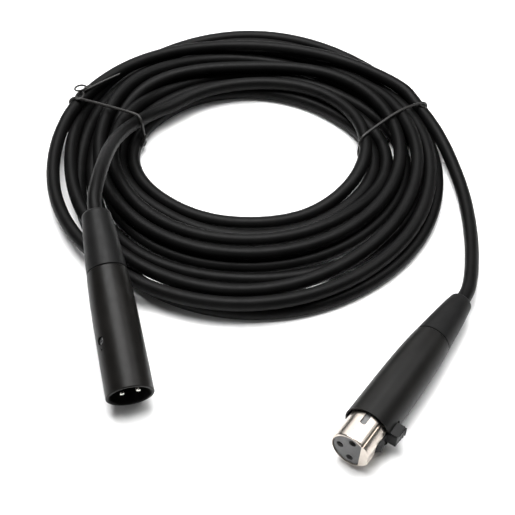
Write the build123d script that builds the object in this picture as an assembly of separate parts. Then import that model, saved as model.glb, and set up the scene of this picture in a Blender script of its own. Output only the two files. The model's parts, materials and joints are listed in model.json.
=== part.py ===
from build123d import *
import math
import os

# A coiled microphone lead: three-pin male plug, three-hole female plug, nine turns of cable.
# Millimetres. +Z is up, the lead lies on z = 0, and the origin is the middle of its base.
# -Y is the side that both plugs point to.

# Cable
CABLE_R = 3.0
CORE_R = 0.6
CHANNEL_R = 3.35

# Coil envelope: an oval ring, wider at the front where the turns fan out
COIL_HEIGHT = 12.2
COIL_EDGE_R = 2.5
COIL_OUTER_CENTRE = (-4.4, 35.2)
COIL_OUTER_RADII = (90.6, 96.7)
COIL_INNER_CENTRE = (-4.0, 39.2)
COIL_INNER_RADII = (49.0, 42.0)

# Wire ties
TIE_WIRE_R = 0.6
TIE_GROOVE_DEPTH = 1.6
TIE_GROOVE_WIDTH = 2.4
TIE_CORNER_R = 1.6
# Each tie: inner point, outer point, height of the wire over the turns, stub length and lean
TIE_LEFT = ((-48.6, 48.4), (-88.7, 74.5), 16.8, 9.0, 15.0)
TIE_RIGHT = ((43.2, 37.0), (85.4, 73.0), 13.8, 5.0, 70.0)

# Plug placing: mouth centre, heading from -Y towards +X, nose-down tilt, and key direction
MALE_MOUTH = (-48.5, -102.1, 9.12)
MALE_HEADING = 13.0
MALE_TILT = 16.2
MALE_KEY_ANGLE = 145.0
FEMALE_FACE = (33.8, -127.7, 9.8)
FEMALE_HEADING = -33.6
FEMALE_TILT = -0.9
FEMALE_KEY_ANGLE = -4.0

# Contacts: three on a circle, the third opposite the key
CONTACT_CIRCLE_R = 4.5
CONTACT_SPREAD = 94.0
PIN_R = 1.2
PIN_SHANK_R = 1.5
PIN_COLLAR_R = 1.9
FIT_GAP = 0.03

# Both plugs: bevel on each side of the seam between barrel and boot, and the gap in it
SEAM_BEVEL = 0.35
SEAM_GAP = 0.1

# Male plug, measured back from its mouth
MALE_CAVITY_R = 8.1
MALE_CAVITY_DEPTH = 15.0
MALE_SHELL_LENGTH = 53.4
MALE_LENGTH = 81.0
MALE_INSERT_END = 26.0
PIN_TIP_DEPTH = 2.2
MALE_CUP_END = 31.0
MALE_SCREW_DEPTH = 22.3
MALE_JACKET_START = 41.0

# Female plug, measured back from its face
NOSE_R = 8.1
NOSE_LENGTH = 12.8
FEMALE_BODY_LENGTH = 36.0
INSERT_R = 7.35
INSERT_CHORD = 4.2
INSERT_END = 22.0
SOCKET_BORE_R = 1.23
SOCKET_R = 1.6
FEMALE_CUP_END = 29.0
FEMALE_SEAM = 63.4
FEMALE_LENGTH = 88.5
FEMALE_JACKET_START = 50.0

# Latch
LATCH_WIDTH = 4.6
LATCH_PIVOT_DEPTH = 29.0
LATCH_PIVOT_HEIGHT = 5.6
LATCH_PIN_R = 0.8
LATCH_HOOK_DEPTH = 6.6
LATCH_TAB_DEPTHS = (13.2, 19.8)

# Cable routes outside the coil, from each plug to where the cable joins the coil
MALE_ROUTE = [
    (-65.998, -26.31, 31.718),
    (-67.293, -20.694, 33.392),
    (-66.7, -12.4, 34.4),
    (-65.8, -2.2, 33.5),
    (-65.0, 9.3, 30.4),
    (-64.0, 21.3, 25.8),
    (-62.2, 33.3, 20.6),
    (-59.0, 44.3, 15.7),
    (-54.2, 54.1, 12.0),
    (-47.6, 62.0, 9.9),
    (-39.4, 68.2, 9.0),
]
FEMALE_ROUTE = [
    (82.769, -53.996, 8.41),
    (85.812, -49.416, 8.324),
    (88.2, -41.2, 7.6),
    (90.2, -30.2, 5.9),
    (91.8, -16.7, 4.1),
    (92.4, -2.2, 3.3),
    (91.9, 12.3, 3.4),
    (89.7, 26.8, 4.4),
    (86.1, 41.8, 6.2),
    (81.0, 56.3, 7.9),
    (74.4, 70.0, 8.6),
    (69.6, 77.8, 8.7),
]


def place(mouth, heading, tilt, key_angle):
    """Location of a plug: local +Z points out of its mouth and local +Y is its key side."""
    psi = math.radians(heading)
    tau = math.radians(tilt)
    ahead = Vector(math.sin(psi) * math.cos(tau), -math.cos(psi) * math.cos(tau), -math.sin(tau))
    across = Vector(math.cos(psi), math.sin(psi), 0)
    level = Plane(origin=mouth, x_dir=across, z_dir=ahead)
    return Location(level) * Location((0, 0, 0), (0, 0, key_angle - 90))


def turned(points):
    """Solid of revolution about Z from a closed (radius, height) outline of straight edges."""
    outline = Polyline([(r, 0, z) for r, z in points], close=True)
    return revolve(make_face(outline), Axis.Z)


def barrel(outer, inner):
    """Solid of revolution with a smooth outer wall through points and a stepped inner wall."""
    skin = Spline([(r, 0, z) for r, z in outer])
    core = Polyline([(outer[-1][0], 0, outer[-1][1])] + [(r, 0, z) for r, z in inner]
                    + [(outer[0][0], 0, outer[0][1])])
    return revolve(make_face(skin.edges() + core.edges()), Axis.Z)


def rod(radius, low, high, x=0.0, y=0.0):
    """Upright cylinder between two heights."""
    return Pos(x, y, (low + high) / 2) * Cylinder(radius, high - low)


def contact_places():
    """Centres of contacts 1, 2 and 3 in a plug's own frame."""
    angles = (-90 + CONTACT_SPREAD, -90 - CONTACT_SPREAD, -90)
    return [(CONTACT_CIRCLE_R * math.cos(math.radians(a)),
             CONTACT_CIRCLE_R * math.sin(math.radians(a))) for a in angles]


def corner_radii(points):
    """Largest tangent arc at each corner: 0.45 of the shorter run over tan(half the turn)."""
    radii = []
    for before, here, after in zip(points, points[1:], points[2:]):
        arrive = Vector(here) - Vector(before)
        leave = Vector(after) - Vector(here)
        half_turn = math.radians(arrive.get_angle(leave)) / 2
        radii.append(0.45 * min(arrive.length, leave.length) / math.tan(half_turn))
    return radii


def tube(points, radius, radii):
    """Round bar along straight runs joined by tangent arcs."""
    path = FilletPolyline(*points, radius=radii)
    start = Plane(origin=path @ 0, z_dir=path % 0)
    return sweep(start * Circle(radius), path=path), path.length


def report_tube(name, solid, length, radii):
    """Print a cable tube's corner radii and compare its volume with section times length."""
    section = math.pi * CABLE_R ** 2
    print(name, "length", round(length, 1), "volume ratio", round(solid.volume / (section * length), 4))
    print(name, "corner radii", [round(r, 1) for r in radii])


# Male plug

def male_shell():
    """Tapered metal barrel around the pins, with the hole for the insert screw."""
    outer = [(9.5, 0), (9.36, -16), (9.05, -36), (8.7, -46), (8.2, SEAM_BEVEL - MALE_SHELL_LENGTH)]
    inner = [(8.2 - SEAM_BEVEL, -MALE_SHELL_LENGTH), (7.1, -MALE_SHELL_LENGTH), (7.1, -MALE_INSERT_END),
             (MALE_CAVITY_R, -MALE_INSERT_END), (MALE_CAVITY_R, 0)]
    body = barrel(outer, inner)
    rim = body.edges().filter_by(GeomType.CIRCLE).group_by(Axis.Z)[-1]
    body = fillet(rim, 0.4)
    screw_hole = Pos(0, 8.5, -MALE_SCREW_DEPTH) * Rot(90, 0, 0) * Cylinder(1.75, 4)
    pip = Pos(0, 9.4, -MALE_SCREW_DEPTH + 3.7) * Rot(90, 0, 0) * Cylinder(0.4, 1)
    key = Pos(0, MALE_CAVITY_R - 0.2, -9.5) * Box(1.8, 1.2, 9)
    key_inside = key & rod(MALE_CAVITY_R + 0.3, -14.2, -4.8)
    return body + key_inside - screw_hole - pip


def male_insert():
    """Black moulding that carries the three pins."""
    body = rod(MALE_CAVITY_R - FIT_GAP, -MALE_INSERT_END, -MALE_CAVITY_DEPTH)
    front = body.edges().filter_by(GeomType.CIRCLE).group_by(Axis.Z)[-1]
    body = chamfer(front, 0.4)
    for x, y in contact_places():
        body -= rod(PIN_SHANK_R + FIT_GAP, -MALE_INSERT_END - 1, -MALE_CAVITY_DEPTH + 1, x, y)
    screw = Pos(0, MALE_CAVITY_R, -MALE_SCREW_DEPTH) * Rot(90, 0, 0)
    body -= screw * Cylinder(1.0 + FIT_GAP, 9)
    return body - screw * Cylinder(1.7, 2.4)


def male_pin(x, y):
    """Solid contact pin: rounded tip, thicker shank in the moulding, and a hollow solder cup."""
    body = rod(PIN_R, -MALE_CUP_END, -PIN_TIP_DEPTH, x, y)
    tip = body.edges().filter_by(GeomType.CIRCLE).group_by(Axis.Z)[-1]
    body = fillet(tip, 0.9)
    shank = rod(PIN_SHANK_R, -MALE_CUP_END, -MALE_CAVITY_DEPTH, x, y)
    collar = rod(PIN_COLLAR_R, -MALE_INSERT_END - 1.2, -MALE_INSERT_END, x, y)
    cup = rod(CORE_R + 0.2, -MALE_CUP_END, -MALE_CUP_END + 3.5, x, y)
    return body + shank + collar - cup


def slotted_screw():
    """Insert-retaining screw with a cross slot, head outwards along +Y."""
    axis = Pos(0, 0, -MALE_SCREW_DEPTH) * Rot(-90, 0, 0)
    screw = axis * (Pos(0, 0, 7.75) * Cylinder(1.6, 1.5) + Pos(0, 0, 6.0) * Cylinder(1.0, 3.0))
    slots = Box(2.4, 0.5, 1.0) + Box(0.5, 2.4, 1.0)
    return screw - axis * Pos(0, 0, 8.4) * slots


def strain_boot(outer, spigot_r, seam, end, rear_fillet):
    """Tapered rear boot with a threaded front spigot and the cable's bore."""
    bore = CABLE_R + 0.15
    skin = Spline([(r, 0, z) for r, z in outer])
    core = Polyline((outer[-1][0], 0, -end), (bore, 0, -end), (bore, 0, -seam - 8),
                    (spigot_r - 1.0, 0, -seam - 2), (spigot_r - 1.0, 0, -seam + 9),
                    (spigot_r, 0, -seam + 9), (spigot_r, 0, -seam),
                    (outer[0][0] - SEAM_BEVEL, 0, -seam), (outer[0][0], 0, outer[0][1]))
    body = revolve(make_face(skin.edges() + core.edges()), Axis.Z)
    rear = body.edges().filter_by(GeomType.CIRCLE).group_by(Axis.Z)[0].sort_by(SortBy.RADIUS)[-1]
    return fillet(rear, rear_fillet)


def male_boot():
    """Rear boot of the male plug."""
    seam = MALE_SHELL_LENGTH + SEAM_GAP
    outer = [(8.15, -seam - SEAM_BEVEL), (7.75, -61), (6.9, -71), (5.9, -MALE_LENGTH)]
    return strain_boot(outer, 6.9, seam, MALE_LENGTH, 1.8)


def cable_clamp(radius, low, high):
    """Split collar that grips the cable jacket inside a plug."""
    body = rod(radius, low, high) - rod(CABLE_R + 0.05, low - 1, high + 1)
    rings = body.edges().filter_by(GeomType.CIRCLE).sort_by(SortBy.RADIUS)[-2:]
    body = chamfer(rings, 0.6)
    return body - Pos(radius / 2, 0, (low + high) / 2) * Box(radius, 0.9, high - low + 2)


def core_wire(index, x, y, jacket, cup_end):
    """Inner conductor fanned out from the jacket end to a solder cup."""
    angle = math.radians(120 * index + 30)
    near = (1.3 * math.cos(angle), 1.3 * math.sin(angle))
    reach = jacket - cup_end
    points = [(near[0], near[1], -jacket), (near[0], near[1], -jacket + 0.25 * reach),
              (x, y, -cup_end - 0.2 * reach), (x, y, -cup_end + 3.0)]
    return tube(points, CORE_R, [1.6, 1.6])[0]


# Female plug

def female_shell():
    """Nickel nose and body: key groove, side slot, latch channel, and ears for the latch pin."""
    body = rod(NOSE_R, -FEMALE_BODY_LENGTH, 0)
    lip = body.edges().filter_by(GeomType.CIRCLE).group_by(Axis.Z)[-1]
    body = fillet(lip, 0.7)
    pocket = rod(INSERT_R + FIT_GAP, -FEMALE_BODY_LENGTH - 1, 1)
    beyond = Pos(0, INSERT_CHORD + FIT_GAP + 10, -FEMALE_BODY_LENGTH / 2) * Box(20, 20, 50)
    body -= pocket - beyond
    body -= Pos(0, NOSE_R, -FEMALE_BODY_LENGTH / 2) * Box(LATCH_WIDTH + 0.8, 1.1, 50)
    body -= latch_slot()
    groove = Pos(0, NOSE_R, -20) * Box(1.1, 1.2, 50)
    side_slot = Pos(0, NOSE_R, -22) * Box(2.4, 2.6, 26.6)
    slot_end = Pos(0, NOSE_R, -8.7) * Rot(90, 0, 0) * Cylinder(1.2, 2.6)
    body -= Rot(0, 0, 56) * groove
    body -= Rot(0, 0, 93) * (side_slot + slot_end)
    pin_hole = Pos(0, LATCH_PIVOT_HEIGHT, -LATCH_PIVOT_DEPTH) * Rot(0, 90, 0)
    return body - pin_hole * Cylinder(LATCH_PIN_R + 0.01, 9.2)


def latch_slot():
    """Room for the latch arm and its swing, deeper round the pivot, open on the key side."""
    width = LATCH_WIDTH + 0.8
    arm_room = Pos(0, 9.0, -(LATCH_HOOK_DEPTH + LATCH_PIVOT_DEPTH) / 2 + 0.4) * Box(
        width, 8.0, LATCH_PIVOT_DEPTH - LATCH_HOOK_DEPTH)
    pivot_room = Pos(0, 8.0, -28.25) * Box(width, 10.0, 11.5)
    return arm_room + pivot_room


def female_insert():
    """Grey D-shaped face moulding with three contact holes."""
    body = rod(INSERT_R, -INSERT_END, -0.45)
    body -= Pos(0, INSERT_CHORD + 10, -INSERT_END / 2) * Box(20, 20, 50)
    face = body.edges().group_by(Axis.Z)[-1]
    body = fillet(face, 0.3)
    for x, y in contact_places():
        body -= rod(1.42, -3, 1, x, y)
        body -= rod(SOCKET_R + FIT_GAP, -INSERT_END - 1, -1.8, x, y)
    return body


def female_contact(x, y):
    """Socket contact: pin bore in front, solder cup behind."""
    body = rod(SOCKET_R, -FEMALE_CUP_END, -1.9, x, y)
    body -= rod(SOCKET_BORE_R, -14, 0, x, y)
    return body - rod(CORE_R + 0.2, -FEMALE_CUP_END, -FEMALE_CUP_END + 3.5, x, y)


def female_sleeve():
    """Long flared cover over the female body, notched at the rim for the latch tab."""
    outer = [(9.55, -NOSE_LENGTH), (9.35, -27), (9.1, -41), (8.6, -53),
             (7.75, SEAM_BEVEL - FEMALE_SEAM)]
    inner = [(7.75 - SEAM_BEVEL, -FEMALE_SEAM), (6.6, -FEMALE_SEAM), (6.6, -FEMALE_BODY_LENGTH - 0.2),
             (NOSE_R + 0.2, -FEMALE_BODY_LENGTH - 0.2), (NOSE_R + 0.2, -NOSE_LENGTH - 3),
             (8.85, -NOSE_LENGTH - 1.2), (8.95, -NOSE_LENGTH)]
    body = barrel(outer, inner)
    notch_length = LATCH_TAB_DEPTHS[1] - NOSE_LENGTH + 0.9
    notch = Box(LATCH_WIDTH + 2.0, 6, 2 * notch_length)
    body -= Pos(0, 10, -NOSE_LENGTH) * notch
    bump_room = Pos(0, 7.2, -LATCH_PIVOT_DEPTH + 2.5) * Box(LATCH_WIDTH + 0.8, 2.6, 14.0)
    return body - bump_room


def latch_lever():
    """Rocking latch: hook in front, ribbed thumb tab, pivot eye behind."""
    tab_low, tab_high = LATCH_TAB_DEPTHS
    side = Polyline([(-LATCH_PIVOT_DEPTH - 1.7, 4.9), (-LATCH_PIVOT_DEPTH + 1.5, 4.6),
                     (-tab_high, 6.5), (-LATCH_HOOK_DEPTH - 2.0, 6.5), (-LATCH_HOOK_DEPTH, 7.0),
                     (-LATCH_HOOK_DEPTH, 7.6), (-LATCH_HOOK_DEPTH - 1.2, 9.3),
                     (-LATCH_HOOK_DEPTH - 2.6, 9.3), (-LATCH_HOOK_DEPTH - 3.4, 7.9),
                     (-tab_low + 0.3, 8.2), (-tab_low - 0.4, 12.2), (-tab_high, 12.9),
                     (-tab_high, 8.0), (-LATCH_PIVOT_DEPTH + 1.5, 7.3),
                     (-LATCH_PIVOT_DEPTH - 1.7, 7.0)], close=True)
    profile = make_face(Plane(origin=(0, 0, 0), x_dir=(0, 0, 1), z_dir=(-1, 0, 0)) * side)
    body = extrude(profile, LATCH_WIDTH / 2, both=True)
    for rib in range(4):
        depth = tab_low + 1.3 + 1.5 * rib
        body -= Pos(0, 12.75, -depth) * Rot(45, 0, 0) * Box(LATCH_WIDTH + 1, 0.75, 0.75)
    wings = Box(1.0, 3.6, tab_high - tab_low - 0.8)
    for side_sign in (-1, 1):
        body += Pos(side_sign * (LATCH_WIDTH / 2 + 0.4), 10.35, -(tab_low + tab_high) / 2) * wings
    eye = Pos(0, LATCH_PIVOT_HEIGHT, -LATCH_PIVOT_DEPTH) * Rot(0, 90, 0)
    body -= eye * Cylinder(LATCH_PIN_R + 0.04, 10)
    return body - spring_room()


def spring_room():
    """Slot in the lever's eye that holds the torsion spring."""
    return Pos(0, LATCH_PIVOT_HEIGHT, -LATCH_PIVOT_DEPTH) * Box(1.9, 8, 4.6)


def latch_pin():
    """Steel pin that the latch rocks on."""
    return Pos(0, LATCH_PIVOT_HEIGHT, -LATCH_PIVOT_DEPTH) * Rot(0, 90, 0) * Cylinder(LATCH_PIN_R, 9.0)


def latch_spring():
    """Torsion spring round the latch pin, with a short leg towards the slot floor."""
    mean_r = LATCH_PIN_R + 0.3
    coil = sweep(Plane(origin=(mean_r, 0, 0), z_dir=(0, 1, 0.05)) * Circle(0.2),
                 path=Helix(pitch=0.45, height=1.35, radius=mean_r), is_frenet=True)
    return (Pos(-0.68, LATCH_PIVOT_HEIGHT, -LATCH_PIVOT_DEPTH) * Rot(0, 90, 0)) * coil


def female_boot():
    """Rear boot of the female plug."""
    seam = FEMALE_SEAM + SEAM_GAP
    outer = [(7.65, -seam - SEAM_BEVEL), (7.0, -70), (6.1, -79), (4.7, -FEMALE_LENGTH)]
    return strain_boot(outer, 6.4, seam, FEMALE_LENGTH, 0.8)


# Coil and ties

def coil(male_end, female_end):
    """Envelope of the turns, with channels where the two cable ends join it."""
    outer = Pos(*COIL_OUTER_CENTRE) * Ellipse(*COIL_OUTER_RADII)
    inner = Pos(*COIL_INNER_CENTRE) * Ellipse(*COIL_INNER_RADII)
    ring = extrude(outer - inner, COIL_HEIGHT)
    rims = ring.edges().group_by(Axis.Z)[-1] + ring.edges().group_by(Axis.Z)[0]
    ring = fillet(rims, COIL_EDGE_R)
    ring -= male_end
    ring -= female_end
    for line in (TIE_LEFT, TIE_RIGHT):
        ring -= tie_groove(line[0], line[1])
    return ring


def tie_line(inner, outer):
    """Middle, length and bearing of the line that a tie crosses the coil on."""
    along = Vector(*outer, 0) - Vector(*inner, 0)
    middle = (Vector(*outer, 0) + Vector(*inner, 0)) * 0.5
    return middle, along.length, math.degrees(math.atan2(along.Y, along.X))


def tie_groove(inner, outer):
    """Shallow groove under the coil that the tie passes through."""
    middle, length, bearing = tie_line(inner, outer)
    return Pos(middle.X, middle.Y, 0) * Rot(0, 0, bearing) * Box(
        length + 10, TIE_GROOVE_WIDTH, 2 * TIE_GROOVE_DEPTH)


def tie(inner, outer, top, stub_length, stub_lean):
    """Wire bent round the coil in one upright plane, its two ends twisted into a stub."""
    middle, length, bearing = tie_line(inner, outer)
    half = length / 2
    low = TIE_WIRE_R + 0.1
    knot = COIL_HEIGHT * 0.7
    loop = [(half, 0, knot - 1), (half, 0, low), (-half, 0, low), (-half, 0, top), (half, 0, top),
            (half, 0, knot + 1)]
    wire = tube(loop, TIE_WIRE_R, [TIE_CORNER_R] * 4)[0]
    stub = Pos(half + 0.4, 0, knot) * Rot(0, stub_lean, 0) * rod(1.5 * TIE_WIRE_R, -1, stub_length)
    return Pos(middle.X, middle.Y, 0) * Rot(0, 0, bearing) * (wire + stub)


def main():
    os.makedirs("parts", exist_ok=True)
    male_at = place(MALE_MOUTH, MALE_HEADING, MALE_TILT, MALE_KEY_ANGLE)
    female_at = place(FEMALE_FACE, FEMALE_HEADING, FEMALE_TILT, FEMALE_KEY_ANGLE)
    male = {
        "male_shell": male_shell(),
        "male_insert": male_insert(),
        "male_insert_screw": slotted_screw(),
        "male_boot": male_boot(),
        "male_cable_clamp": cable_clamp(5.7, -52.5, -43.0),
        "male_cable_end": rod(CABLE_R, -MALE_LENGTH, -MALE_JACKET_START),
    }
    female = {
        "female_shell": female_shell(),
        "female_insert": female_insert(),
        "female_sleeve": female_sleeve(),
        "female_boot": female_boot(),
        "female_cable_clamp": cable_clamp(5.2, -62.5, -52.0),
        "female_cable_end": rod(CABLE_R, -FEMALE_LENGTH, -FEMALE_JACKET_START),
        "latch_lever": latch_lever(),
        "latch_pin": latch_pin(),
        "latch_spring": latch_spring(),
    }
    cores = ("core_hot", "core_cold", "drain_wire")
    for index, (x, y) in enumerate(contact_places()):
        male["male_pin_%d" % (index + 1)] = male_pin(x, y)
        male["male_" + cores[index]] = core_wire(index, x, y, MALE_JACKET_START, MALE_CUP_END)
        female["female_contact_%d" % (index + 1)] = female_contact(x, y)
        female["female_" + cores[index]] = core_wire(
            index, x, y, FEMALE_JACKET_START, FEMALE_CUP_END)
    nodes = {name: male_at * shape for name, shape in male.items()}
    nodes.update({name: female_at * shape for name, shape in female.items()})
    channels = []
    for name, route in (("male_tail", MALE_ROUTE), ("female_tail", FEMALE_ROUTE)):
        radii = corner_radii(route)
        nodes[name], length = tube(route, CABLE_R, radii)
        channels.append(tube(route, CHANNEL_R, radii)[0])
        report_tube(name, nodes[name], length, radii)
    nodes["cable_coil"] = coil(*channels)
    nodes["tie_left"] = tie(*TIE_LEFT)
    nodes["tie_right"] = tie(*TIE_RIGHT)
    for name, shape in nodes.items():
        export_step(shape, "parts/%s.step" % name)
    box = Compound(children=list(nodes.values())).bounding_box()
    print("box", box.min, box.max)
    print("plug rears", male_at * Pos(0, 0, -MALE_LENGTH), female_at * Pos(0, 0, -FEMALE_LENGTH))


main()
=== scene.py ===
import json
import math

import bpy
import numpy as np
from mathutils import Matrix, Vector


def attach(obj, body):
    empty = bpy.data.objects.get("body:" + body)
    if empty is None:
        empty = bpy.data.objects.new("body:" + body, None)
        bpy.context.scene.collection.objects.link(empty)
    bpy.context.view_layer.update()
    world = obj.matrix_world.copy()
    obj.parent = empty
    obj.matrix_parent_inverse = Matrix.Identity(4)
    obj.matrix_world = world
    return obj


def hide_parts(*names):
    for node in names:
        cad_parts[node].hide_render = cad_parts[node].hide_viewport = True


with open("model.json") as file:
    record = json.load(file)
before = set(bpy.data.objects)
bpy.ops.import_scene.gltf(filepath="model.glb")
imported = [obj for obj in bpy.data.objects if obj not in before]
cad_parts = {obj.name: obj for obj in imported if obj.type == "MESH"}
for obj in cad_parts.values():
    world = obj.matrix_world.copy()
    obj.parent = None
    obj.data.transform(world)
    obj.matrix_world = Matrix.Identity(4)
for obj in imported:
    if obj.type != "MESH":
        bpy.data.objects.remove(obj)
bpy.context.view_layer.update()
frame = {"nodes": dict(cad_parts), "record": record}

# A coiled microphone lead on a pale floor. Metres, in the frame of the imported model.

MM = 0.001

# Cable
CABLE_R = 3.0 * MM

# Where the cable lies between each plug and the coil, from the plug's rear
MALE_ROUTE = [
    (-0.065998, -0.02631, 0.031718),
    (-0.067293, -0.020694, 0.033392),
    (-0.0667, -0.0124, 0.0344),
    (-0.0658, -0.0022, 0.0335),
    (-0.0650, 0.0093, 0.0304),
    (-0.0640, 0.0213, 0.0258),
    (-0.0622, 0.0333, 0.0206),
    (-0.0590, 0.0443, 0.0157),
    (-0.0542, 0.0541, 0.0120),
    (-0.0476, 0.0620, 0.0099),
    (-0.0394, 0.0682, 0.0090),
]
FEMALE_ROUTE = [
    (0.082769, -0.053996, 0.00841),
    (0.085812, -0.049416, 0.008324),
    (0.0882, -0.0412, 0.0076),
    (0.0902, -0.0302, 0.0059),
    (0.0918, -0.0167, 0.0041),
    (0.0924, -0.0022, 0.0033),
    (0.0919, 0.0123, 0.0034),
    (0.0897, 0.0268, 0.0044),
    (0.0861, 0.0418, 0.0062),
    (0.0810, 0.0563, 0.0079),
    (0.0744, 0.0700, 0.0086),
    (0.0696, 0.0778, 0.0087),
]

# Coil: each turn's radius about the centre and the height of its middle as it is laid, in mm, at
# eight bearings from the far side round by the right, front and left
COIL_CENTRE = (-0.004, 0.0358)
BEARINGS = (90, 45, 0, -45, -90, -135, -180, -225)
TURNS = [
    ((48.4, 54.0, 53.4, 44.4, 40.0, 43.7, 53.2, 51.6), (9, 9, 9, 3, 3, 3, 3, 3)),
    ((49.0, 50.8, 57.3, 51.5, 48.1, 49.7, 59.0, 57.8), (3, 3, 3, 3, 3, 3, 3, 3)),
    ((55.0, 57.0, 63.2, 57.6, 54.6, 58.3, 62.0, 64.0), (3, 3, 3, 8, 8.5, 9, 8.5, 3)),
    ((61.3, 63.3, 71.4, 68.3, 65.7, 67.6, 65.0, 66.7), (3, 3, 3, 3, 3, 3, 3, 8.5)),
    ((60.6, 68.7, 69.0, 65.2, 63.4, 65.1, 68.0, 73.0), (9, 9, 8.5, 8.5, 8.5, 8.5, 8.5, 8.5)),
    ((73.3, 69.5, 79.5, 77.5, 73.0, 74.8, 71.5, 76.0), (3, 3, 3, 3, 3, 3, 3, 3)),
    ((81.0, 75.5, 76.6, 78.6, 83.9, 82.8, 80.5, 86.5), (3, 3, 8.5, 9, 8.5, 8.5, 8.5, 3)),
    ((93.2, 87.6, 86.0, 90.2, 91.6, 84.5, 76.2, 82.0), (3, 3, 3, 3, 3, 3, 3, 3)),
    ((87.2, 81.5, 82.0, 87.0, 92.0, 91.0, 88.0, 82.9), (3, 3, 8.5, 8.5, 9, 8.5, 5, 9)),
]
# The start of one more turn, at the first two bearings
LAST_TURN = ((76.5, 80.4), (8.7, 9))
POINTS_PER_TURN = 30

# How the turns settle: rounds, distance that two strands keep, how often and how near other
# strands are looked for, and how many points along the line count as the same strand
SETTLE_ROUNDS = 260
STRAND_GAP = 1.98 * CABLE_R
SEARCH_EVERY = 10
SEARCH_REACH = 9 * MM
SAME_STRAND = 14
# The same: how strongly a round pushes strands apart and pulls them back to where they were laid,
# how far it lets the cable sink at first, the share of the rounds after which sinking has stopped,
# and how much it evens the line out at the end and how much more at the start
PUSH_SHARE = 1.2
PULL_SHARE = 0.02
SINK = 0.015 * MM
SINKING_TIME = 0.85
EVENING_AT_END = 0.05
EVENING_MORE = 0.5
# Keeps two strands whose middles meet from dividing by nothing
TINY = 1e-9

# Wire ties, in metres: inner and outer end of the line that each crosses the coil on, and how far
# the wire bows sideways over the turns
TIE_R = 0.7 * MM
TIE_LINES = {
    "left": ((-0.0500, 0.0464), (-0.0846, 0.0660)),
    "right": ((0.0432, 0.0370), (0.0854, 0.0730)),
}
TIE_BOW = {"left": 6.0 * MM, "right": -2.0 * MM}
# How far past a tie's ends the strands that it holds may lie, and steps round each of them
TIE_REACH = 20 * MM
TIE_STEPS = 12
# The cable lies higher near a tie, as its wire runs under the coil: from how far inside the coil
# to the outside, and over what width
TIE_UNDER_FROM = -30 * MM
TIE_UNDER_WIDTH = 20 * MM

# Bent ends of the ties: wire's radius, and steps round an eye or a turn of the winding
TIE_END_R = 0.5 * MM
RING_STEPS = 8
# Eyes at a tie's outer side, in mm: middle, half length, half width, and heading in degrees
TIE_EYES = {
    "left": [((-83, 68.5, 14.5), 3.0, 1.8, 80), ((-83.2, 73, 15.4), 2.8, 2.0, 30)],
    "right": [],
}
# Loose ends, in mm: start, middle and tip of each
TIE_TIPS = {
    "left": [((-80.5, 72, 15), (-74, 78, 14.8), (-65.5, 84, 14.8))],
    "right": [((76, 64.5, 12), (80.5, 64, 10), (82.5, 60, 6.5)),
              ((77.5, 64, 11.5), (80, 63, 9), (81.5, 60.5, 7))],
}
# Small loop that hangs down at a tie's inner side, in mm: top, foot and half width
TIE_HOOKS = {
    "left": ((-51, 46.5, 9.5), (-54.5, 44.2, 2), 0.8),
    "right": ((46.5, 41, 9.5), (46.5, 38, 2.5), 0.8),
}
# Where the left tie's end is wound round itself: start and end in mm, turns, and radius in metres
TIE_KNOT = ((-81, 72, 15), (-79, 75, 14.5))
TIE_KNOT_TURNS = 4
TIE_KNOT_R = 0.7 * MM
# How finely both kinds of tie wire are rounded and divided along their length
TIE_SIDES = 3
TIE_SMOOTH = 4

# Materials: the part of a noise's range that is spread over a colour or a roughness
NOISE_LOW = 0.3
NOISE_HIGH = 0.7
# Noise scales, in features per metre
BLOTCHES = 120
SHEEN = 420
STAINS = 260
POLISH_MARKS = 1500
FLOOR_PATCHES = 3
# Bump layers: strength of each, and depth where it is the same on every piece
BLOTCH_BUMP = (0.08, 0.2 * MM)
GRAIN_STRENGTH = 0.25
POLISH_BUMP = (0.03, 0.01 * MM)

# Plastic, paint and rubber, by the record's slots: darkest and lightest colour, lowest and highest
# roughness, grain in features per metre and its depth, and how strongly it mirrors
SATINS = {
    "cable_jacket": ((0.0012, 0.0012, 0.0012), (0.0028, 0.0027, 0.0027),
                     0.44, 0.52, 2600, 0.02 * MM, 0.085),
    "tie_wire": ((0.012, 0.0115, 0.011), (0.02, 0.019, 0.018),
                 0.28, 0.4, 3000, 0.01 * MM, 0.3),
    "black_barrel": ((0.0045, 0.0042, 0.0038), (0.007, 0.0065, 0.006),
                     0.34, 0.42, 3200, 0.02 * MM, 0.115),
    "black_insert": ((0.006, 0.006, 0.006), (0.01, 0.01, 0.01),
                     0.4, 0.55, 2500, 0.02 * MM, 0.28),
    "black_boot": ((0.004, 0.004, 0.004), (0.006, 0.006, 0.006),
                   0.46, 0.56, 2600, 0.03 * MM, 0.13),
    "clamp_plastic": ((0.03, 0.03, 0.033), (0.05, 0.05, 0.055),
                      0.4, 0.55, 2200, 0.03 * MM, 0.28),
    "core_red": ((0.35, 0.015, 0.015), (0.5, 0.03, 0.03),
                 0.3, 0.45, 2200, 0.02 * MM, 0.28),
    "core_white": ((0.6, 0.6, 0.57), (0.75, 0.75, 0.72),
                   0.3, 0.45, 2200, 0.02 * MM, 0.28),
    "grey_insert": ((0.10, 0.10, 0.10), (0.14, 0.14, 0.14),
                    0.45, 0.6, 2200, 0.03 * MM, 0.28),
    "black_sleeve": ((0.005, 0.0048, 0.0045), (0.0075, 0.0071, 0.0066),
                     0.38, 0.46, 3000, 0.02 * MM, 0.13),
    "latch_black": ((0.004, 0.004, 0.004), (0.0065, 0.0065, 0.0065),
                    0.38, 0.5, 2600, 0.02 * MM, 0.15),
}

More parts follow.
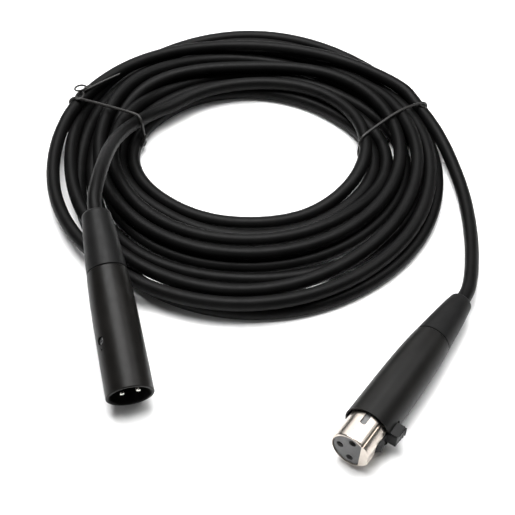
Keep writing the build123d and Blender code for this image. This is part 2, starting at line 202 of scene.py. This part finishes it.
# Metals, by the record's slots: darkest and lightest colour, lowest and highest roughness
METALS = {
    "contact_silver": ((0.80, 0.78, 0.72), (0.92, 0.90, 0.85), 0.14, 0.26),
    "tinned_copper": ((0.62, 0.5, 0.4), (0.78, 0.7, 0.6), 0.2, 0.4),
    "nickel": ((0.50, 0.45, 0.40), (0.56, 0.51, 0.455), 0.27, 0.31),
    "steel": ((0.14, 0.14, 0.145), (0.22, 0.22, 0.225), 0.3, 0.42),
}

# Stage: camera, floor, and each soft box's name, place, size and watts
CAMERA_ELEVATION = math.radians(47)
CAMERA_DISTANCE = 0.5569
CAMERA_TARGET = Vector((0, -0.02145, 0))
CAMERA_SENSOR = 36
CAMERA_LENS = 90.87
CAMERA_CLIP = 0.01
FLOOR_HALF = 4.0
WORLD_STRENGTH = 0.04
LIGHTS = [
    ("key", (-0.12, 0.32, 1.5), 1.1, 52),
    ("right", (0.75, 0.2, 1.1), 0.6, 7),
    ("rear", (-0.3, 1.4, 0.8), 0.9, 6),
    ("front", (-0.5, -1.1, 0.7), 0.9, 2),
]


# Cable

def bearing_and_radius(point):
    """Bearing in degrees and radius of a point about the coil's centre."""
    x = point[0] - COIL_CENTRE[0]
    y = point[1] - COIL_CENTRE[1]
    return math.degrees(math.atan2(y, x)), math.hypot(x, y)


def smooth_through(known_x, known_y, x):
    """Cubic curve through known values, read at x."""
    known_x = np.asarray(known_x, float)
    known_y = np.asarray(known_y, float)
    slope = np.gradient(known_y, known_x)
    i = np.clip(np.searchsorted(known_x, x, side="right") - 1, 0, len(known_x) - 2)
    h = known_x[i + 1] - known_x[i]
    t = (x - known_x[i]) / h
    start = (2 * t ** 3 - 3 * t ** 2 + 1) * known_y[i] + (t ** 3 - 2 * t ** 2 + t) * h * slope[i]
    end = (3 * t ** 2 - 2 * t ** 3) * known_y[i + 1] + (t ** 3 - t ** 2) * h * slope[i + 1]
    return start + end


def laid_turns():
    """Points of the turns as they are laid, before they settle on the floor and each other."""
    first_bearing, first_radius = bearing_and_radius(MALE_ROUTE[-1])
    last_bearing, last_radius = bearing_and_radius(FEMALE_ROUTE[-1])
    angles = [-first_bearing]
    radii = [first_radius]
    heights = [MALE_ROUTE[-1][2]]
    for turn, (turn_radii, turn_heights) in enumerate(TURNS + [LAST_TURN]):
        for bearing, radius, height in zip(BEARINGS, turn_radii, turn_heights):
            angles.append(360 * turn - bearing)
            radii.append(radius * MM)
            heights.append(height * MM)
    angles.append(360 * len(TURNS) - last_bearing)
    radii.append(last_radius)
    heights.append(FEMALE_ROUTE[-1][2])
    count = round((angles[-1] - angles[0]) / 360 * POINTS_PER_TURN)
    angle = np.linspace(angles[0], angles[-1], count + 1)[1:-1]
    radius = smooth_through(angles, radii, angle)
    height = smooth_through(angles, heights, angle)
    turned = np.radians(-angle)
    return np.stack([COIL_CENTRE[0] + radius * np.cos(turned),
                     COIL_CENTRE[1] + radius * np.sin(turned), height], axis=1)


def spline_rows(count, per_span):
    """Matrix that turns control points of an order 3 clamped spline into points on its line."""
    spans = count - 2
    u = np.linspace(0, spans, spans * per_span + 1)
    span = np.minimum(u.astype(int), spans - 1)
    knots = np.concatenate([[0, 0], np.arange(spans + 1), [spans, spans]]).astype(float)
    rows = np.zeros((len(u), count))
    for row, (value, s) in enumerate(zip(u, span)):
        k = knots[s + 1:s + 5]
        left = (k[2] - value) / (k[2] - k[1])
        right = (value - k[1]) / (k[2] - k[1])
        low = (k[2] - value) / (k[2] - k[0])
        high = (value - k[1]) / (k[3] - k[1])
        rows[row, s] = left * low
        rows[row, s + 1] = left * (1 - low) + right * (1 - high)
        rows[row, s + 2] = right * high
    return rows


def along_tie(line, inner, outer):
    """Distance of each point along a tie's line and to the side of it, and the line's length."""
    along = np.array(outer) - np.array(inner)
    length = np.linalg.norm(along)
    along /= length
    off = line[:, :2] - np.array(inner)
    return off @ along, off[:, 0] * along[1] - off[:, 1] * along[0], length


def floor_height(line):
    """Lowest place for the cable's middle: its radius, and more where a tie's wire is under it."""
    lift = np.zeros(len(line))
    for inner, outer in TIE_LINES.values():
        run, aside, _ = along_tie(line, inner, outer)
        near = run > TIE_UNDER_FROM
        lift = np.maximum(lift, near * 2 * TIE_R * np.exp(-(aside / TIE_UNDER_WIDTH) ** 2))
    return CABLE_R + lift


def strand_pairs(line):
    """Pairs of points that are near each other but not next to each other on the cable."""
    apart = np.linalg.norm(line[:, None] - line[None], axis=2)
    return np.where(np.triu(apart < SEARCH_REACH, k=SAME_STRAND))


def push_apart(line, a, b):
    """How far to move each point so that the strands at points a and b keep their distance."""
    way = np.gradient(line, axis=0)
    way /= np.linalg.norm(way, axis=1)[:, None]
    same = np.sign((way[a] * way[b]).sum(axis=1))[:, None]
    mean_way = way[a] + same * way[b]
    mean_way /= np.linalg.norm(mean_way, axis=1)[:, None]
    between = line[a] - line[b]
    along = (between * mean_way).sum(axis=1)
    across = between - along[:, None] * mean_way
    distance = np.linalg.norm(across, axis=1) + TINY
    share = np.clip(1 - np.abs(along) / (2 * CABLE_R), 0, 1)
    overlap = np.clip(STRAND_GAP - distance, 0, None) * share
    push = across / distance[:, None] * overlap[:, None] / 2
    force = np.zeros_like(line)
    met = np.zeros(len(line))
    np.add.at(force, a, push)
    np.add.at(force, b, -push)
    np.add.at(met, a, (overlap > 0) * share)
    np.add.at(met, b, (overlap > 0) * share)
    return force / np.maximum(met, 1)[:, None]


def evened(shift):
    """Each point's shift, averaged with its neighbours'."""
    result = shift.copy()
    result[1:-1] = (shift[:-2] + 2 * shift[1:-1] + shift[2:]) / 4
    return result


def settled(points, held):
    """Lets the turns sink onto the floor and each other, a cable's width apart."""
    rows = spline_rows(len(points), per_span=3)
    weight = rows.sum(axis=0)
    laid = points.copy()
    loose = (~held)[:, None]
    for step in range(SETTLE_ROUNDS):
        line = rows @ points
        if step % SEARCH_EVERY == 0:
            a, b = strand_pairs(line)
        move = PUSH_SHARE * (rows.T @ push_apart(line, a, b)) / weight[:, None]
        under = np.clip(floor_height(line) - line[:, 2], 0, None)
        move[:, 2] += (rows.T @ under) / weight
        move[:, :2] += PULL_SHARE * (laid[:, :2] - points[:, :2])
        slack = max(0.0, 1 - step / (SINKING_TIME * SETTLE_ROUNDS))
        move[:, 2] -= SINK * slack
        points = points + move * loose
        shift = points - laid
        blend = EVENING_AT_END + EVENING_MORE * slack
        eased = laid + (1 - blend) * shift + blend * evened(shift)
        points = np.where(loose, eased, points)
        points[:, 2] = np.maximum(points[:, 2], CABLE_R)
    return points


def cable_points():
    """Control points of the whole cable, from the male plug's rear to the female plug's."""
    turns = laid_turns()
    head = np.array(MALE_ROUTE)
    tail = np.array(FEMALE_ROUTE[::-1])
    points = np.vstack([head, turns, tail])
    held = np.zeros(len(points), bool)
    held[:len(head) - 1] = True
    held[len(points) - len(tail) + 1:] = True
    return settled(points, held)


def spline_piece(name, runs, radius, sides=5, smooth=6):
    """A piece of round cable or wire: one open spline near each run of control points."""
    data = bpy.data.curves.new(name, "CURVE")
    data.dimensions = "3D"
    for points in runs:
        spline = data.splines.new("NURBS")
        spline.points.add(len(points) - 1)
        for knot, point in zip(spline.points, points):
            knot.co = (*point, 1.0)
        spline.order_u = 3
        spline.use_endpoint_u = True
    data.resolution_u = smooth
    data.bevel_depth = radius
    data.bevel_resolution = sides
    data.use_fill_caps = True
    piece = bpy.data.objects.new(name, data)
    bpy.context.scene.collection.objects.link(piece)
    return piece


# Materials

def material(name, colour, roughness, metallic=0.0, specular=0.5):
    """A new Principled material, with its node tree, shader and object coordinates."""
    made = bpy.data.materials.new(name)
    made.use_nodes = True
    tree = made.node_tree
    shader = tree.nodes["Principled BSDF"]
    shader.inputs["Base Color"].default_value = (*colour, 1)
    shader.inputs["Roughness"].default_value = roughness
    shader.inputs["Metallic"].default_value = metallic
    shader.inputs["Specular IOR Level"].default_value = specular
    coords = tree.nodes.new("ShaderNodeTexCoord")
    return made, tree, shader, coords.outputs["Object"]


def noise(tree, where, scale, detail=3.0):
    """Noise value, at a scale in features per metre."""
    node = tree.nodes.new("ShaderNodeTexNoise")
    node.inputs["Scale"].default_value = scale
    node.inputs["Detail"].default_value = detail
    tree.links.new(where, node.inputs["Vector"])
    return node.outputs["Fac"]


def span(tree, value, low, high):
    """Maps a noise value to a range."""
    node = tree.nodes.new("ShaderNodeMapRange")
    node.inputs["From Min"].default_value = NOISE_LOW
    node.inputs["From Max"].default_value = NOISE_HIGH
    node.inputs["To Min"].default_value = low
    node.inputs["To Max"].default_value = high
    tree.links.new(value, node.inputs["Value"])
    return node.outputs["Result"]


def tint(tree, value, dark, light):
    """Colour that goes from dark to light with a noise value."""
    ramp = tree.nodes.new("ShaderNodeValToRGB")
    ramp.color_ramp.elements[0].position = NOISE_LOW
    ramp.color_ramp.elements[0].color = (*dark, 1)
    ramp.color_ramp.elements[1].position = NOISE_HIGH
    ramp.color_ramp.elements[1].color = (*light, 1)
    tree.links.new(value, ramp.inputs["Fac"])
    return ramp.outputs["Color"]


def bump(tree, shader, *layers):
    """Stacks bump layers, each a height value, its strength and its depth in metres."""
    normal = None
    for height, strength, depth in layers:
        node = tree.nodes.new("ShaderNodeBump")
        node.inputs["Strength"].default_value = strength
        node.inputs["Distance"].default_value = depth
        tree.links.new(height, node.inputs["Height"])
        if normal:
            tree.links.new(normal, node.inputs["Normal"])
        normal = node.outputs["Normal"]
    tree.links.new(normal, shader.inputs["Normal"])


def satin(name, dark, light, rough_low, rough_high, grain, grain_depth, specular):
    """Plastic, paint or rubber: mottled colour and gloss, and a fine grain."""
    made, tree, shader, where = material(name, light, rough_high, specular=specular)
    blotch = noise(tree, where, BLOTCHES)
    fine = noise(tree, where, grain, 2.0)
    tree.links.new(tint(tree, blotch, dark, light), shader.inputs["Base Color"])
    tree.links.new(span(tree, noise(tree, where, SHEEN), rough_low, rough_high),
                   shader.inputs["Roughness"])
    bump(tree, shader, (blotch, *BLOTCH_BUMP), (fine, GRAIN_STRENGTH, grain_depth))
    return made


def metal(name, dark, light, rough_low, rough_high):
    """Plated metal with soft stains in its colour and fine marks in its polish."""
    made, tree, shader, where = material(name, light, rough_high, metallic=1.0)
    stains = noise(tree, where, STAINS)
    tree.links.new(tint(tree, stains, dark, light), shader.inputs["Base Color"])
    marks = noise(tree, where, POLISH_MARKS, 4.0)
    tree.links.new(span(tree, marks, rough_low, rough_high), shader.inputs["Roughness"])
    bump(tree, shader, (marks, *POLISH_BUMP))
    return made


def slot_materials():
    """One material for each of the record's slots."""
    made = {slot: satin(slot, *look) for slot, look in SATINS.items()}
    made.update({slot: metal(slot, *look) for slot, look in METALS.items()})
    return made


def dress_cad(materials):
    """Gives every CAD node the material of its slot."""
    for part in frame["record"]["subparts"]:
        node = frame["nodes"][part["node"]]
        node.data.materials.clear()
        node.data.materials.append(materials[part["material_slot"]])


# Ties

def tie_crossings(line, inner, outer):
    """Where the cable's line passes through a tie's upright plane, as (distance, height)."""
    run, aside, length = along_tie(line, inner, outer)
    found = []
    for i in range(len(line) - 1):
        if aside[i] * aside[i + 1] < 0 and -TIE_REACH < run[i] < length + TIE_REACH:
            share = aside[i] / (aside[i] - aside[i + 1])
            found.append((run[i] + share * (run[i + 1] - run[i]),
                          line[i, 2] + share * (line[i + 1, 2] - line[i, 2])))
    return found


def hull(points):
    """Convex outline of flat points, anticlockwise."""
    points = sorted(points)
    halves = []
    for run in (points, points[::-1]):
        half = []
        for p in run:
            while len(half) > 1 and ((half[-1][0] - half[-2][0]) * (p[1] - half[-2][1])
                                     - (half[-1][1] - half[-2][1]) * (p[0] - half[-2][0])) <= 0:
                half.pop()
            half.append(p)
        halves.append(half[:-1])
    return halves[0] + halves[1]


def tie_loop(name, line):
    """Wire pulled tight round the turns, as points of a closed loop from its outer foot."""
    inner, outer = TIE_LINES[name]
    along = np.array(outer) - np.array(inner)
    along /= np.linalg.norm(along)
    reach = CABLE_R + TIE_R
    ring = [(s + reach * math.cos(a), max(TIE_R, z + reach * math.sin(a)))
            for s, z in tie_crossings(line, inner, outer)
            for a in np.linspace(0, 2 * math.pi, TIE_STEPS, endpoint=False)]
    outline = hull(ring)
    top = max(z for s, z in outline)
    span_low = min(s for s, z in outline)
    span_high = max(s for s, z in outline)
    loop = []
    for s, z in outline:
        share = (s - span_low) / (span_high - span_low)
        raised = max(0.0, 2 * z / top - 1)
        bow = TIE_BOW[name] * raised * 4 * share * (1 - share)
        loop.append((inner[0] + s * along[0] + bow * along[1],
                     inner[1] + s * along[1] - bow * along[0], z))
    return loop


def wound(start, end, turns, radius):
    """Points of a wire wound round the line from start to end."""
    start = Vector(start)
    axis = Vector(end) - start
    across = axis.orthogonal().normalized()
    upward = axis.normalized().cross(across)
    points = []
    for i in range(RING_STEPS * turns + 1):
        angle = 2 * math.pi * i / RING_STEPS
        ring = radius * (math.cos(angle) * across + math.sin(angle) * upward)
        points.append(tuple(start + axis * (i / (RING_STEPS * turns)) + ring))
    return points


def eye(middle, half_long, half_wide, heading):
    """Points of a small closed loop of wire that lies flat."""
    along = Vector((math.cos(math.radians(heading)), math.sin(math.radians(heading)), 0))
    across = Vector((-along.y, along.x, 0))
    points = []
    for i in range(RING_STEPS + 1):
        angle = 2 * math.pi * i / RING_STEPS
        reach = half_long * math.cos(angle) * along + half_wide * math.sin(angle) * across
        points.append(tuple(Vector(middle) + reach))
    return points


def hook(top, foot, half_wide):
    """Points of a narrow loop of wire that hangs from top to foot and comes back."""
    top, foot = Vector(top), Vector(foot)
    across = half_wide * (foot - top).cross(Vector((0, 0, 1))).normalized()
    middle = (top + foot) / 2
    return [tuple(p) for p in (top, middle + across, foot, middle - across, top)]


def bent_ends(name):
    """The eyes, loose ends and inner loop of one tie, in metres."""
    runs = [eye(*values) for values in TIE_EYES[name]]
    runs += [list(tip) for tip in TIE_TIPS[name]]
    runs.append(hook(*TIE_HOOKS[name]))
    return [[tuple(MM * v for v in point) for point in run] for run in runs]


def make_ties(line):
    """Both ties: each wire round the turns, and its bent ends."""
    knot_start, knot_end = ([MM * v for v in point] for point in TIE_KNOT)
    knots = {"left": [wound(knot_start, knot_end, TIE_KNOT_TURNS, TIE_KNOT_R)], "right": []}
    pieces = {}
    for name in TIE_LINES:
        loop = tie_loop(name, line)
        wire = spline_piece("tie_wire_" + name, [loop + loop[:1]], TIE_R, TIE_SIDES, TIE_SMOOTH)
        ends = bent_ends(name) + knots[name]
        bent = spline_piece("tie_ends_" + name, ends, TIE_END_R, TIE_SIDES, TIE_SMOOTH)
        pieces[name] = [wire, bent]
    return pieces


# Stage

def make_camera():
    """Camera that looks down on the coil through a long lens."""
    data = bpy.data.cameras.new("camera")
    data.sensor_width = CAMERA_SENSOR
    data.lens = CAMERA_LENS
    data.clip_start = CAMERA_CLIP
    camera = bpy.data.objects.new("camera", data)
    back = Vector((0, -math.cos(CAMERA_ELEVATION), math.sin(CAMERA_ELEVATION)))
    camera.location = CAMERA_TARGET + CAMERA_DISTANCE * back
    camera.rotation_euler = (math.pi / 2 - CAMERA_ELEVATION, 0, 0)
    bpy.context.scene.collection.objects.link(camera)
    bpy.context.scene.camera = camera


def soft_light(name, place, size, watts):
    """Square soft box that faces the middle of the floor."""
    data = bpy.data.lights.new(name, "AREA")
    data.size = size
    data.energy = watts
    light = bpy.data.objects.new(name, data)
    light.location = place
    light.rotation_euler = (-Vector(place)).to_track_quat("-Z", "Y").to_euler()
    bpy.context.scene.collection.objects.link(light)


def make_floor():
    """Pale, almost even floor."""
    made, tree, shader, where = material("floor", (0.9, 0.9, 0.9), 0.8, specular=0.1)
    patches = noise(tree, where, FLOOR_PATCHES)
    tree.links.new(tint(tree, patches, (0.89, 0.89, 0.89), (0.91, 0.91, 0.91)),
                   shader.inputs["Base Color"])
    mesh = bpy.data.meshes.new("floor")
    corners = [(x * FLOOR_HALF, y * FLOOR_HALF, 0) for x, y in ((-1, -1), (1, -1), (1, 1), (-1, 1))]
    mesh.from_pydata(corners, [], [(0, 1, 2, 3)])
    mesh.materials.append(made)
    floor = bpy.data.objects.new("floor", mesh)
    bpy.context.scene.collection.objects.link(floor)


def make_lights():
    """Faint even surroundings and the soft boxes."""
    world = bpy.data.worlds.new("world")
    world.use_nodes = True
    world.node_tree.nodes["Background"].inputs["Color"].default_value = (1, 1, 1, 1)
    world.node_tree.nodes["Background"].inputs["Strength"].default_value = WORLD_STRENGTH
    bpy.context.scene.world = world
    bpy.context.scene.view_settings.view_transform = "Standard"
    for light in LIGHTS:
        soft_light(*light)


def add_cable(points, materials):
    """The whole cable as one piece, in place of the coil and both tails."""
    cable = spline_piece("cable", [points], CABLE_R)
    cable.data.materials.append(materials["cable_jacket"])
    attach(cable, "lead")
    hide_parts("cable_coil", "male_tail", "female_tail")
    female_plug = [n for n in frame["nodes"] if n.startswith(("female_", "latch_"))]
    female_plug.remove("female_tail")


def add_ties(line, materials):
    """Both ties, in place of the plain ones."""
    for name, pieces in make_ties(line).items():
        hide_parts("tie_" + name)
        for piece in pieces:
            piece.data.materials.append(materials["tie_wire"])
            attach(piece, "lead")


def main():
    make_camera()
    make_floor()
    make_lights()
    materials = slot_materials()
    dress_cad(materials)
    points = cable_points()
    line = spline_rows(len(points), per_span=8) @ points
    add_cable(points, materials)
    add_ties(line, materials)


main()
